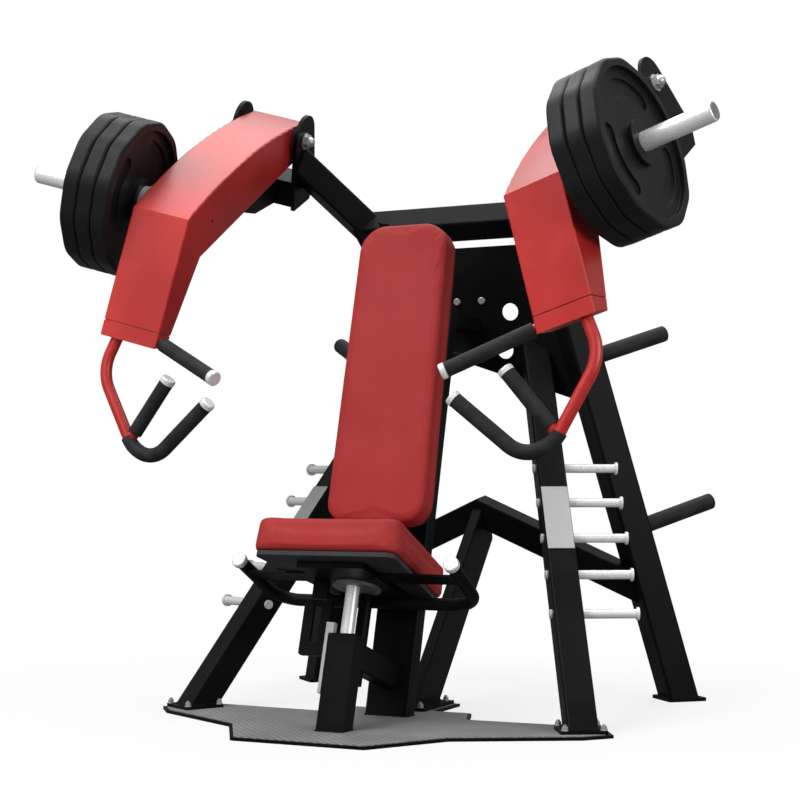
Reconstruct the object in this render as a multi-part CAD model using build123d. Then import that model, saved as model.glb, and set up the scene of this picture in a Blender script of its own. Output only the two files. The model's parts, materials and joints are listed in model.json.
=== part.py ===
"""Plate-loaded incline chest press: steel frame, two converging press arms, seat and back pad.

Millimetres. +X is the user's left-to-right seen from the front, +Y runs to the back, +Z is up.
The origin is on the floor, on the centre plane, just behind the line between the two front feet.
"""

import os
from math import cos, hypot, radians, sin

from build123d import *

# Steel sections
TUBE = 80.0  # square frame tube
WALL = 3.0
TUBE_CORNER = 8.0

# Base
BASE_THICK = 8.0
MAT_THICK = 2.0
MAT_MARGIN = 9.0
FOOT_PLATE = 120.0
FOOT_PLATE_THICK = 10.0
BOLT_REACH = 50.0  # from a foot plate's centre to each of its bolts

# Legs: floor point and lean, in millimetres per millimetre of height
FRONT_FOOT = (578.0, -23.0)
FRONT_LEAN = (-0.373, 0.666)
REAR_FOOT = (599.0, 800.0)
REAR_LEAN = (-0.2445, -0.15)
REAR_TUBE = 90.0
REAR_TURN = 43.0  # degrees of the rear legs' sections about the vertical
CENTRE_FOOT_Y = 258.0
CENTRE_LEG_TOP = 518.0  # height at which its middle line meets the rear plane
CENTRE_LEG_WIDTH = 34.0
CENTRE_LEG_DEPTH = 132.0
APEX_HEIGHT = 557.0  # middle of the chevron brace at the centre plane
CHEVRON_END_HEIGHT = 325.0
CROSSBAR_HEIGHT = 1425.0
CROSSBAR_HALF = 352.0
CROSSBAR_ROLL = 36.0
PANEL_THICK = 5.0

# Column behind the pads
COLUMN_WIDTH = 130.0
COLUMN_DEPTH = 50.0
COLUMN_FRONT_Y = 28.0
COLUMN_LEAN = 0.27
COLUMN_TOP = 1150.0

# Press arm pivot, for the +X side
PIVOT = Vector(552.0, 386.0, 1706.0)
PIVOT_AXIS = Vector(0.947, -0.17, 0.27).normalized()
ARM_LINE = Vector(-0.0238, -0.8815, -0.4715)  # from the pivot towards the knee
ARM_WIDTH = 168.0
ARM_WALL = 3.0
SHAFT_RADIUS = 15.0
BEARING_OUTER = 27.5
HUB_OUTER = 34.0
RUNNING_GAP = 0.05
EAR_THICK = 12.0
EAR_INNER_FACE = 96.0  # from the arm's middle plane
HORN_RADIUS = 25.0
HORN_AT = (604.0, 30.0)  # along and below the arm's own line
HORN_END = 450.0
COLLAR_RADIUS = 48.0
PLATE_RADIUS = 225.0
PLATE_THICK = 46.0
PLATE_PITCH = 46.6
PLATE_FIRST_FACE = 118.0
PLATE_HOLE = 26.0

# Grips
TUBE_RADIUS = 16.0
CORE_RADIUS = 14.0
GRIP_RADIUS = 19.5
CAP_RADIUS = 20.5

# Pads
PAD_LEAN = 14.15
BACK_FRONT_FOOT = (-58.0, 536.0)  # lower end of the back pad's front face, Y and Z
BACK_LENGTH = 860.0
BACK_WIDTH = 288.0
BACK_THICK = 72.0
SEAT_TILT = 19.0
SEAT_FRONT_TOP = (-324.0, 560.0)
SEAT_LENGTH = 466.0
SEAT_FRONT_WIDTH = 428.0
SEAT_REAR_WIDTH = 300.0
SEAT_THICK = 90.0
SEAT_CORNER = 38.0
BOARD_THICK = 12.0

# Seat post and carriage
POST_WIDTH = 80.0
POST_DEPTH = 60.0
POST_FOOT_Y = -278.0
POST_LEAN = 17.0
POST_TOP = 247.0
ROD_RADIUS = 18.0
SEAT_BEAM_FRONT = Vector(0, -215, 243)  # on the sloping beam's top face
SEAT_BEAM_REAR = Vector(0, 80, 146)
SEAT_BEAM_WIDTH = 50.0
SEAT_BEAM_TALL = 70.0

os.makedirs("parts", exist_ok=True)


def save(name, shape):
    """Write one node's STEP file."""
    export_step(shape, f"parts/{name}.step")


def mirrored(shape):
    """The same piece on the -X side."""
    return mirror(shape, about=Plane.YZ)


def group(pieces):
    """Separate solids kept together in one node."""
    solids = [solid for piece in pieces for solid in piece.solids()]
    return Compound(children=solids)


def both_sides(pieces):
    """The +X pieces and their mirror images as one group."""
    return group(list(pieces) + [mirrored(piece) for piece in pieces])


def biggest(shape):
    """The largest solid of a cut shape."""
    return max(shape.solids(), key=lambda solid: solid.volume)


def section_plane(start, end, side):
    """A plane across a member, with its local x along side."""
    start, end, side = Vector(start), Vector(end), Vector(side)
    axis = (end - start).normalized()
    across = (side - axis * axis.dot(side)).normalized()
    return Plane(origin=start, x_dir=across, z_dir=axis)


def bar(start, end, width, depth, side, corner=TUBE_CORNER):
    """A solid rounded rectangular bar between two points."""
    plane = section_plane(start, end, side)
    length = (Vector(end) - Vector(start)).length
    return extrude(plane * RectangleRounded(width, depth, corner), length)


def tube(start, end, width, depth, side, wall=WALL, corner=TUBE_CORNER):
    """A hollow rectangular tube between two points."""
    plane = section_plane(start, end, side)
    length = (Vector(end) - Vector(start)).length
    outer = RectangleRounded(width, depth, corner)
    inner = RectangleRounded(width - 2 * wall, depth - 2 * wall, corner - wall)
    return extrude(plane * (outer - inner), length)


def rod(start, end, radius, bore=0.0):
    """A round bar or pipe between two points."""
    start, end = Vector(start), Vector(end)
    plane = Plane(origin=start, z_dir=(end - start).normalized())
    sketch = Circle(radius) - Circle(bore) if bore else Circle(radius)
    return extrude(plane * sketch, (end - start).length)


def swept_tube(path, radius, bore=0.0):
    """A round bar or pipe along a wire."""
    start = Plane(origin=path @ 0, z_dir=path % 0)
    solid = sweep(start * Circle(radius), path=path)
    return solid - sweep(start * Circle(bore), path=path) if bore else solid


def near_point(edge, point):
    """Whether a round edge is centred at a point."""
    return (edge.arc_center - point).length < 0.01


def slab(low, high):
    """A box given by two opposite corners."""
    low, high = Vector(low), Vector(high)
    size = high - low
    return Pos(*((low + high) / 2)) * Box(size.X, size.Y, size.Z)


def level_cut(height):
    """Everything below a level."""
    return slab((-1500, -1500, -400), (1500, 1500, height))


# ---------------------------------------------------------------- legs and frame


def front_leg_point(height):
    return Vector(
        FRONT_FOOT[0] + FRONT_LEAN[0] * height, FRONT_FOOT[1] + FRONT_LEAN[1] * height, height
    )


def rear_leg_point(height):
    return Vector(
        REAR_FOOT[0] + REAR_LEAN[0] * height, REAR_FOOT[1] + REAR_LEAN[1] * height, height
    )


def rear_plane_y(height):
    return REAR_FOOT[1] + REAR_LEAN[1] * height


def level_across(lean):
    """The level direction square to a leaning leg."""
    size = hypot(*lean)
    return Vector(-lean[1] / size, lean[0] / size, 0)


FRONT_ACROSS = level_across(FRONT_LEAN)
REAR_ACROSS = Vector(sin(radians(REAR_TURN)), -cos(radians(REAR_TURN)), 0)
FLOOR_CUT = level_cut(BASE_THICK + FOOT_PLATE_THICK)
REAR_NORMAL = Vector(0, 1, -REAR_LEAN[1]).normalized()


def rear_plane(height=0.0):
    """Plane of the rear legs, local x along +X and local y up the lean."""
    origin = (0, rear_plane_y(height), height)
    return Plane(origin=origin, x_dir=(1, 0, 0), z_dir=-REAR_NORMAL)


def front_leg(shape=tube):
    top = front_leg_point(1180)
    leg = shape(front_leg_point(-60), top, TUBE, TUBE, FRONT_ACROSS) - FLOOR_CUT
    behind = rear_plane(1000).offset(PANEL_THICK / 2) * Pos(0, 0, -200) * Box(2000, 2400, 400)
    return biggest(leg - behind)


def crossbar(shape=tube):
    y = rear_plane_y(CROSSBAR_HEIGHT)
    roll = radians(CROSSBAR_ROLL)
    side = (0, cos(roll), -sin(roll))
    ends = [(x, y, CROSSBAR_HEIGHT) for x in (-CROSSBAR_HALF, CROSSBAR_HALF)]
    return shape(*ends, TUBE, TUBE, side)


def rear_leg(shape=tube):
    leg = shape(rear_leg_point(-60), rear_leg_point(1440), REAR_TUBE, REAR_TUBE, REAR_ACROSS)
    return biggest(leg - level_cut(FOOT_PLATE_THICK) - crossbar(bar))


def chevron():
    """Two tubes meeting at the centre plane, running down to the rear legs."""
    across = REAR_NORMAL
    apex = Vector(0, rear_plane_y(APEX_HEIGHT), APEX_HEIGHT)
    low = rear_leg_point(CHEVRON_END_HEIGHT)
    reach = (low - apex).normalized() * 60
    half = tube(apex - reach, low, TUBE, TUBE, across)
    half -= slab((-800, -500, -100), (0, 1500, 1500))
    half = biggest(half - rear_leg(bar))
    return half + mirrored(half)


def centre_leg():
    """Flat-sided leg on the centre plane, from the base up to the chevron's apex."""
    foot = Vector(0, CENTRE_FOOT_Y, 0)
    top = Vector(0, rear_plane_y(CENTRE_LEG_TOP), CENTRE_LEG_TOP)
    lean = (top - foot).normalized()
    leg = tube(foot - lean * 120, top + lean * 40, CENTRE_LEG_WIDTH, CENTRE_LEG_DEPTH, (1, 0, 0), corner=6)
    leg -= FLOOR_CUT + rear_plane().offset(-TUBE / 2 + 8) * Pos(0, 0, -300) * Box(600, 3000, 600)
    apex = Vector(0, rear_plane_y(APEX_HEIGHT), APEX_HEIGHT)
    low = rear_leg_point(CHEVRON_END_HEIGHT)
    reach = (low - apex).normalized() * 60
    brace = bar(apex - reach, low, TUBE, TUBE, REAR_NORMAL)
    return biggest(leg - brace - mirrored(brace))


def column_front_y(height):
    return COLUMN_FRONT_Y + COLUMN_LEAN * height


def column(shape=tube):
    def middle(height):
        return Vector(0, column_front_y(height) + COLUMN_DEPTH / 2, height)

    leg = shape(middle(-60), middle(COLUMN_TOP), COLUMN_WIDTH, COLUMN_DEPTH, (1, 0, 0))
    return leg - level_cut(BASE_THICK + MAT_THICK)


TIE_HEIGHTS = (1045.0, 1118.0)
TIE_WIDTH = 60.0
TIE_TALL = 40.0


def column_ties():
    """Level tubes from the column back to the panel."""
    ties = []
    front_of_panel = rear_plane(1000).offset(PANEL_THICK / 2)
    behind = front_of_panel * Pos(0, 0, -200) * Box(2000, 2400, 400)
    for height in TIE_HEIGHTS:
        start = (0, column_front_y(height), height)
        tie = tube(start, (0, 800, height), TIE_WIDTH, TIE_TALL, (1, 0, 0), corner=5)
        ties.append(biggest(tie - column(bar) - behind))
    return group(ties)


PANEL_TOP = 1352.0
PANEL_APEX = 1002.0
PANEL_LOW = 876.0
PANEL_HOLES = ((129.0, 1156.0), (107.0, 1043.0))
PANEL_HOLE_RADIUS = 26.0
PANEL_BOLTS = ((40.0, 1193.0),)
SLIT_TOP = 1080.0
SLIT = 17.0
UP_THE_LEAN = 1 / cos(radians(8.53))  # rear plane length per millimetre of height


def on_panel(x, height):
    """Local coordinates on the rear plane for a point at a height."""
    return x, height * UP_THE_LEAN


def panel_blank(margin):
    """Closed outline of the panel, margin further out at its sides than the rear legs."""
    def edge(height):
        return REAR_FOOT[0] + REAR_LEAN[0] * height - margin

    right = [(edge(PANEL_TOP), PANEL_TOP), (edge(PANEL_LOW), PANEL_LOW)]
    outline = [(-x, z) for x, z in right] + [(0, PANEL_APEX)] + right[::-1]
    face = make_face(Polyline(*[on_panel(x, z) for x, z in outline], close=True))
    return extrude(rear_plane() * face, PANEL_THICK / 2, both=True)


def back_panel():
    """Stiffening sheet between the rear legs, with a slit beside each leg lower down."""
    panel = panel_blank(margin=20)
    inner = panel_blank(margin=TUBE / 2 + 4 + SLIT)
    low = rear_plane() * Pos(0, SLIT_TOP * UP_THE_LEAN - 500) * Box(2000, 1000, 100)
    panel -= low - inner
    for leg in (rear_leg(bar), mirrored(rear_leg(bar))):
        panel -= leg
    for x, height in PANEL_HOLES:
        for side in (-1, 1):
            local = on_panel(side * x, height)
            panel -= rear_plane() * Pos(*local) * Cylinder(PANEL_HOLE_RADIUS, 60)
    return biggest(panel)


def panel_bolts():
    """Button heads on the panel's front face."""
    bolts = []
    for x, height in PANEL_BOLTS:
        for side in (-1, 1):
            place = rear_plane() * Pos(*on_panel(side * x, height), PANEL_THICK / 2)
            head = Cylinder(11, 7, align=(Align.CENTER, Align.CENTER, Align.MIN))
            bolts.append(place * fillet(head.edges().group_by(Axis.Z)[-1], 3))
    return group(bolts)


# ---------------------------------------------------------------- base and feet


def base_outline(inset=0.0):
    """Half-hexagon platform with a wing to each front foot and a tail for the centre leg."""
    right = [
        (186, -480),
        (315, -268),
        (612, -108),
        (669, -38),
        (604, 76),
        (500, 76),
        (232, 66),
        (186, 190),
        (74, 190),
        (74, 372),
    ]
    points = right + [(-x, y) for x, y in right[::-1]]
    face = make_face(Polyline(*points, close=True))
    return offset(face, -inset, kind=Kind.INTERSECTION) if inset else face


CENTRE_PLATE_HALF = 58.0
CENTRE_PLATE_REACH = (104.0, 108.0)  # forward and back of the centre foot


def foot_centres():
    front = front_leg_point(BASE_THICK)
    rear = rear_leg_point(0)
    return [
        (front.X, front.Y, BASE_THICK, FRONT_ACROSS),
        (rear.X, rear.Y, 0.0, REAR_ACROSS),
    ]


def foot_plate_at(x, y, z, across):
    plane = Plane(origin=(x, y, z), x_dir=across, z_dir=(0, 0, 1))
    return extrude(plane * RectangleRounded(FOOT_PLATE, FOOT_PLATE, 6), FOOT_PLATE_THICK)


def foot_plates():
    return both_sides([foot_plate_at(*centre) for centre in foot_centres()])


def centre_foot_plate():
    low = (-CENTRE_PLATE_HALF, CENTRE_FOOT_Y - CENTRE_PLATE_REACH[0], BASE_THICK)
    high = (CENTRE_PLATE_HALF, CENTRE_FOOT_Y + CENTRE_PLATE_REACH[1], BASE_THICK + FOOT_PLATE_THICK)
    return slab(low, high)


WASHER_THICK = 2.5
WASHER_RADIUS = 9.5
HEAD_RADIUS = 8.5
HEAD_THICK = 8.0
STUD_RADIUS = 4.5
STUD_SHOWING = 5.0
CENTRE_BOLT_INSET = 18.0  # from the centre foot plate's edges to its bolts


def hex_bolt(x, y, z):
    """Hexagon head on a round washer, standing on a level face."""
    up = (Align.CENTER, Align.CENTER, Align.MIN)
    head_foot = z + WASHER_THICK
    washer = Pos(x, y, z) * Cylinder(WASHER_RADIUS, WASHER_THICK, align=up)
    head = Pos(x, y, head_foot) * extrude(RegularPolygon(HEAD_RADIUS, 6), HEAD_THICK)
    stud = Pos(x, y, head_foot + HEAD_THICK) * Cylinder(STUD_RADIUS, STUD_SHOWING, align=up)
    return washer + head + stud


def foot_bolts():
    """Bolts that hold the front feet and the centre foot to the base plate."""
    bolts = []
    top = BASE_THICK + FOOT_PLATE_THICK
    x, y, _, across = foot_centres()[0]
    along = Vector(-across.Y, across.X, 0)
    for i, j in ((-1, -1), (-1, 1), (1, -1), (1, 1)):
        spot = Vector(x, y, 0) + across * (BOLT_REACH * i) + along * (BOLT_REACH * j)
        bolts.append(hex_bolt(spot.X, spot.Y, top))
    side = CENTRE_PLATE_HALF - CENTRE_BOLT_INSET
    for reach in (CENTRE_BOLT_INSET - CENTRE_PLATE_REACH[0], CENTRE_PLATE_REACH[1] - CENTRE_BOLT_INSET):
        bolts.append(hex_bolt(side, CENTRE_FOOT_Y + reach, top))
    return both_sides(bolts)


def base_plate():
    return extrude(base_outline(), BASE_THICK)


def floor_mat():
    """Ribbed rubber sheet laid on the base plate, cut out round the feet."""
    sheet = Pos(0, 0, BASE_THICK) * extrude(base_outline(MAT_MARGIN), MAT_THICK)
    x, y, z, across = foot_centres()[0]
    plane = Plane(origin=(x, y, z), x_dir=across, z_dir=(0, 0, 1))
    clear = extrude(plane * Rectangle(FOOT_PLATE + 4, FOOT_PLATE + 4), 20)
    sheet -= clear
    sheet -= mirrored(clear)
    low = (-CENTRE_PLATE_HALF - 4, CENTRE_FOOT_Y - CENTRE_PLATE_REACH[0] - 4, 0)
    sheet -= slab(low, (CENTRE_PLATE_HALF + 4, 600, 30))
    return biggest(sheet)


# ---------------------------------------------------------------- arm frame of reference

ARM_ALONG = (ARM_LINE - PIVOT_AXIS * PIVOT_AXIS.dot(ARM_LINE)).normalized()
ARM_BELOW = PIVOT_AXIS.cross(ARM_ALONG)


def arm_plane(out=0.0):
    """Plane square to the pivot: local x along the arm, local y below it, z outboard."""
    return Plane(origin=PIVOT + PIVOT_AXIS * out, x_dir=ARM_ALONG, z_dir=PIVOT_AXIS)


def arm_point(along, below, out=0.0):
    return PIVOT + ARM_ALONG * along + ARM_BELOW * below + PIVOT_AXIS * out


ARM_REAR_TOP = (-44, -40)
ARM_CROWN = (345, -63)
ARM_KNEE = (728, -10)
ARM_TIP_FRONT = (906, 302)
ARM_TIP_REAR = (838, 328)
ARM_INNER_KNEE = (647, 134)
ARM_REAR_LOW = (-32, 66)
TIP_CAP = 42.0  # length of the separate cap at the lower end


def arm_face():
    """Side outline of the press arm: an arched upper run, a knee and a tapering lower run."""
    outline = [
        ThreePointArc(ARM_REAR_TOP, ARM_CROWN, ARM_KNEE),
        Polyline(ARM_KNEE, ARM_TIP_FRONT, ARM_TIP_REAR, ARM_INNER_KNEE, ARM_REAR_LOW, ARM_REAR_TOP),
    ]
    return make_face(outline)


def arm_block(face, width):
    return extrude(arm_plane() * face, width / 2, both=True)


def tip_box(start, length):
    """Space below the knee, start to start plus length above the arm's lower end."""
    run = Vector(*ARM_TIP_FRONT) - Vector(*ARM_KNEE)
    run = run.normalized()
    square = Vector(-run.Y, run.X)
    corner = Vector(*ARM_TIP_FRONT) - run * start - square * 60
    far = corner + square * 260
    points = [corner, far, far - run * length, corner - run * length]
    face = make_face(Polyline(*[(p.X, p.Y) for p in points], close=True))
    return extrude(arm_plane() * face, ARM_WIDTH, both=True)


def rounded_arm():
    """Outer form of the whole arm with softened edges."""
    block = arm_block(arm_face(), ARM_WIDTH)
    walls = [face for face in block.faces() if abs(face.normal_at().dot(PIVOT_AXIS)) > 0.999]
    return fillet([edge for wall in walls for edge in wall.edges()], 5)


def arm_hub():
    """Bearing housing welded across the arm at the pivot."""
    half = ARM_WIDTH / 2 + 6
    return rod(arm_point(0, 0, -half), arm_point(0, 0, half), HUB_OUTER, BEARING_OUTER)


def arm_shell():
    """Welded sheet box, open at its upper rear end."""
    inner = offset(arm_face(), -ARM_WALL, kind=Kind.INTERSECTION)
    shell = rounded_arm() - arm_block(inner, ARM_WIDTH - 2 * ARM_WALL)
    mouth = [(-90, -26), (-90, 52), (-39, 52), (-39, -26)]
    opening = make_face(Polyline(*mouth, close=True))
    shell -= arm_block(opening, ARM_WIDTH - 24)
    shell -= tip_box(-60, TIP_CAP + 60 + 3)
    wide = ARM_WIDTH / 2 + 40
    shell -= rod(arm_point(0, 0, -wide), arm_point(0, 0, wide), HUB_OUTER)
    return biggest(shell)


def arm_tip_cap():
    """Cap with a spigot that closes the arm's lower end and carries the handles."""
    cap = biggest(rounded_arm() & tip_box(-60, TIP_CAP + 60))
    inner = offset(arm_face(), -ARM_WALL - 0.6, kind=Kind.INTERSECTION)
    spigot = arm_block(inner, ARM_WIDTH - 2 * ARM_WALL - 1.2) & tip_box(TIP_CAP - 4, 20)
    return cap + biggest(spigot)


def arm_bearings():
    """Two ball bearing rings pressed into the housing."""
    rings = []
    for out in (-1, 1):
        near, far = 56 * out, 74 * out
        inner = SHAFT_RADIUS + RUNNING_GAP
        rings.append(rod(arm_point(0, 0, near), arm_point(0, 0, far), BEARING_OUTER, inner))
    return group(rings)


def horn_point(out):
    return arm_point(*HORN_AT, out)


def horn():
    """Loading horn for weight plates with its stop collar, welded to the arm's side."""
    side = ARM_WIDTH / 2
    tube_part = rod(horn_point(side), horn_point(HORN_END), HORN_RADIUS, HORN_RADIUS - 4)
    plug = rod(horn_point(HORN_END - 12), horn_point(HORN_END), HORN_RADIUS - 4)
    solid = tube_part + plug
    rim = [e for e in solid.edges().filter_by(GeomType.CIRCLE) if near_point(e, horn_point(HORN_END))]
    solid = fillet([e for e in rim if e.radius > HORN_RADIUS - 1], 5)
    collar = rod(horn_point(side), horn_point(side + 14), COLLAR_RADIUS, HORN_RADIUS)
    stop = rod(horn_point(PLATE_FIRST_FACE - 14), horn_point(PLATE_FIRST_FACE - 1), 42, HORN_RADIUS)
    return solid + collar + stop


# ---------------------------------------------------------------- weight plates

PLATE_SIDES = 12


def plate_blank(radius, thick):
    """Round plate whose rim is made of short flats."""
    return extrude(RegularPolygon(radius, PLATE_SIDES), thick)


def weight_plate(index):
    """One grip plate: raised rim and hub, dished web, three finger recesses in each face."""
    rim, web = PLATE_RADIUS - 30, 14
    plate = plate_blank(PLATE_RADIUS, PLATE_THICK)
    corners = plate.edges().filter_by(Axis.Z)
    plate = fillet(corners, 105)
    plate = fillet(plate.edges().group_by(Axis.Z)[-1] + plate.edges().group_by(Axis.Z)[0], 8)
    dish = Cylinder(rim, web, align=(Align.CENTER, Align.CENTER, Align.MIN))
    hub = Cylinder(58, web, align=(Align.CENTER, Align.CENTER, Align.MIN))
    plate -= Pos(0, 0, PLATE_THICK - web) * (dish - hub)
    plate -= dish - hub
    recess = extrude(SlotArc(CenterArc((0, 0), 146, 60, 60), 44), PLATE_THICK)
    core = Pos(0, 0, PLATE_THICK / 2) * Cylinder(PLATE_RADIUS, 5)
    for turn in range(3):
        plate -= Rot(0, 0, 120 * turn + 14 * index) * (recess - core)
    plate -= Cylinder(PLATE_HOLE, 4 * PLATE_THICK)
    start = PLATE_FIRST_FACE + PLATE_PITCH * index
    return Plane(origin=horn_point(start), x_dir=ARM_ALONG, z_dir=PIVOT_AXIS) * plate


def weight_plates():
    return group([weight_plate(index) for index in range(3)])


# ---------------------------------------------------------------- yoke and stops

YOKE_BOX_CENTRE = (-8, 164)
YOKE_BOX = (110, 80)


def ear(out):
    """Plate that carries one end of the pivot shaft."""
    top = CenterArc((-6, -8), 67, 190, 170)
    start, end = top @ 0, top @ 1
    sides = Polyline(
        (end.X, end.Y), (56, 110), (44, 214), (-72, 214), (-108, 166), (start.X, start.Y)
    )
    plate = extrude(arm_plane(out) * make_face([top, sides]), EAR_THICK)
    wide = out + EAR_THICK + 5
    return plate - rod(arm_point(0, 0, out - 5), arm_point(0, 0, wide), SHAFT_RADIUS)


TONGUE_TOP = (160, 106)
TONGUE_TIP = (312, 112)
TONGUE_WIDTH = 84.0
BUMPER_SPAN = (206, 300)  # along the arm
BUMPER_GAP = 0.4


def line_below(start, end, along):
    """Drop below the arm's line, at a place along it, of the line from start to end."""
    return start[1] + (end[1] - start[1]) * (along - start[0]) / (end[0] - start[0])


def stop_bracket():
    """Tongue under the arm, from the yoke box forward to the rubber bumper."""
    start = YOKE_BOX_CENTRE[0] + YOKE_BOX[0] / 2
    lower = [TONGUE_TIP, (300, 138), (190, 184), (start, 200)]
    face = make_face(Polyline((start, 130), TONGUE_TOP, *lower, close=True))
    return extrude(arm_plane() * face, TONGUE_WIDTH / 2, both=True)


def yoke():
    """Clevis for one arm: two ears, the box that joins them below the pivot, and the stop tongue."""
    outer = ear(EAR_INNER_FACE)
    inner = ear(-EAR_INNER_FACE - EAR_THICK)
    box_face = Pos(*YOKE_BOX_CENTRE) * RectangleRounded(*YOKE_BOX, 6)
    wall_face = box_face - Pos(*YOKE_BOX_CENTRE) * RectangleRounded(YOKE_BOX[0] - 8, YOKE_BOX[1] - 8, 3)
    box = extrude(arm_plane() * wall_face, EAR_INNER_FACE, both=True)
    return outer + inner + box + stop_bracket()


def stop_bumper():
    """Rubber block on the tongue that the resting arm leans on."""
    top = [(x, line_below(ARM_REAR_LOW, ARM_INNER_KNEE, x) + BUMPER_GAP) for x in BUMPER_SPAN]
    low = [(x, line_below(TONGUE_TOP, TONGUE_TIP, x)) for x in BUMPER_SPAN[::-1]]
    face = make_face(Polyline(*top, *low, close=True))
    return extrude(arm_plane() * face, TONGUE_WIDTH / 2 - 8, both=True)


def pivot_shaft():
    reach = EAR_INNER_FACE + EAR_THICK + 12
    return rod(arm_point(0, 0, -reach), arm_point(0, 0, reach), SHAFT_RADIUS)


def pivot_nuts():
    """Washer and domed nut at each end of the shaft."""
    nuts = []
    for out in (-1, 1):
        face = EAR_INNER_FACE + EAR_THICK
        plane = Plane(origin=arm_point(0, 0, face * out), z_dir=PIVOT_AXIS * out)
        up = (Align.CENTER, Align.CENTER, Align.MIN)
        washer = Cylinder(25, 4, align=up)
        nut = Pos(0, 0, 4) * extrude(RegularPolygon(21, 6), 12)
        dome = Pos(0, 0, 16) * (Sphere(16) & Pos(0, 0, 20) * Box(60, 60, 40))
        cap = washer + nut + dome - Cylinder(SHAFT_RADIUS, 12, align=up)
        nuts.append(plane * cap)
    return group(nuts)


def upper_beam():
    """Tube from the crossbar's end out, forward and up to the inner ear."""
    start = Vector(CROSSBAR_HALF - 30, rear_plane_y(CROSSBAR_HEIGHT), CROSSBAR_HEIGHT)
    end = arm_point(-14, 99, -EAR_INNER_FACE - EAR_THICK - 10)
    run = (end - start).normalized()
    side = Vector(-run.Y, run.X, 0)
    beam = tube(start - run * 60, end + run * 90, TUBE, TUBE, side)
    out = arm_plane(-EAR_INNER_FACE - EAR_THICK) * Pos(0, 0, 300) * Box(1500, 1500, 600)
    return biggest(biggest(beam - out) - crossbar(bar) - rear_leg(bar))


# ---------------------------------------------------------------- handles

TIP_MIDDLE = (878.0, 313.0)  # middle of the arm's lower end, along and below
LOOP_START_OUT = 44.0
LOOP_CORNERS = [(714, -272, 948), (604, -292, 742), (531, -302, 700)]
LOOP_END = (356, -318, 845)
LOOP_RADII = [115, 90, 78]
MIDDLE_GRIP = [(610, -290, 758), (487, -302, 909)]
TOP_GRIP_START = arm_point(876, 296, -ARM_WIDTH / 2)
TOP_GRIP_END = Vector(333, -325, 919)
CAP_LENGTH = 15.0


def loop_path():
    """The bent handle from the arm's lower end round to the tip of its curved grip."""
    start = arm_point(*TIP_MIDDLE, LOOP_START_OUT)
    return FilletPolyline(start, *LOOP_CORNERS, LOOP_END, radius=LOOP_RADII)


def curved_grip_path():
    """The part of the handle's path that the curved grip covers."""
    return Wire(loop_path().edges()[3:])


def shortened(start, end, from_start, from_end):
    """Two points moved towards each other along their line."""
    start, end = Vector(start), Vector(end)
    run = (end - start).normalized()
    return start + run * from_start, end - run * from_end


def handle_frame():
    """Bent tube with its middle bar, and the upper bar on the arm's inboard side."""
    loop = swept_tube(loop_path(), TUBE_RADIUS)
    middle = rod(*MIDDLE_GRIP, CORE_RADIUS) - loop
    welded = biggest(loop + middle) - arm_tip_cap()
    start, end = shortened(TOP_GRIP_START, TOP_GRIP_END, -20, 0)
    upper = rod(start, end, CORE_RADIUS) - arm_tip_cap()
    return group([biggest(welded), min(upper.solids(), key=lambda s: s.center().X)])


def curved_grip():
    """Foam sleeve on the bent tube's lower run, notched where the middle bar joins."""
    sleeve = swept_tube(curved_grip_path(), GRIP_RADIUS, TUBE_RADIUS)
    return biggest(sleeve - rod(*MIDDLE_GRIP, CORE_RADIUS))


def straight_grips():
    """Foam sleeves of the middle and upper bars."""
    middle = rod(*shortened(*MIDDLE_GRIP, 26, 0), GRIP_RADIUS, CORE_RADIUS)
    upper = rod(*shortened(TOP_GRIP_START, TOP_GRIP_END, 14, 0), GRIP_RADIUS, CORE_RADIUS)
    return group([middle, upper])


def end_cap(point, direction):
    """Domed metal cap on the end of a grip."""
    cap = Cylinder(CAP_RADIUS, CAP_LENGTH, align=(Align.CENTER, Align.CENTER, Align.MIN))
    cap = fillet(cap.edges().group_by(Axis.Z)[-1], 5)
    return Plane(origin=point, z_dir=direction) * cap


def grip_end_caps():
    path = loop_path()
    caps = [end_cap(path @ 1, path % 1)]
    for start, end in (MIDDLE_GRIP, (TOP_GRIP_START, TOP_GRIP_END)):
        caps.append(end_cap(Vector(end), (Vector(end) - Vector(start)).normalized()))
    return group(caps)


# ---------------------------------------------------------------- back rest


def back_plane(behind=0.0):
    """Plane of the back pad's front face, local x along +X and local y up the pad."""
    lean = radians(PAD_LEAN)
    up, back = Vector(0, sin(lean), cos(lean)), Vector(0, cos(lean), -sin(lean))
    origin = Vector(0, *BACK_FRONT_FOOT) + back * behind
    return Plane(origin=origin, x_dir=(1, 0, 0), z_dir=-back), up


def back_outline(inset):
    """Pad outline, a little wider at the hips than at the shoulders."""
    low, high = BACK_WIDTH / 2 + 6 - inset, BACK_WIDTH / 2 - 6 - inset
    points = [(-low, inset), (low, inset), (high, BACK_LENGTH - inset), (-high, BACK_LENGTH - inset)]
    face = make_face(Polyline(*points, close=True))
    corners = face.vertices().sort_by(Axis.Y)
    face = fillet(corners[:2], 58 - inset)
    return fillet(face.vertices().sort_by(Axis.Y)[-4:].filter_by(lambda v: v.Y > 700), 80 - inset)


def back_pad():
    plane, _ = back_plane(BACK_THICK)
    pad = extrude(plane * back_outline(0), BACK_THICK)
    return fillet(pad.faces().sort_by(Axis.Y)[0].edges(), 14)


def back_board():
    plane, _ = back_plane(BACK_THICK + BOARD_THICK)
    return extrude(plane * back_outline(10), BOARD_THICK - 0.2)


BACK_BRACKET_HEIGHTS = (190.0, 640.0)  # up the pad from its lower end


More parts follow.
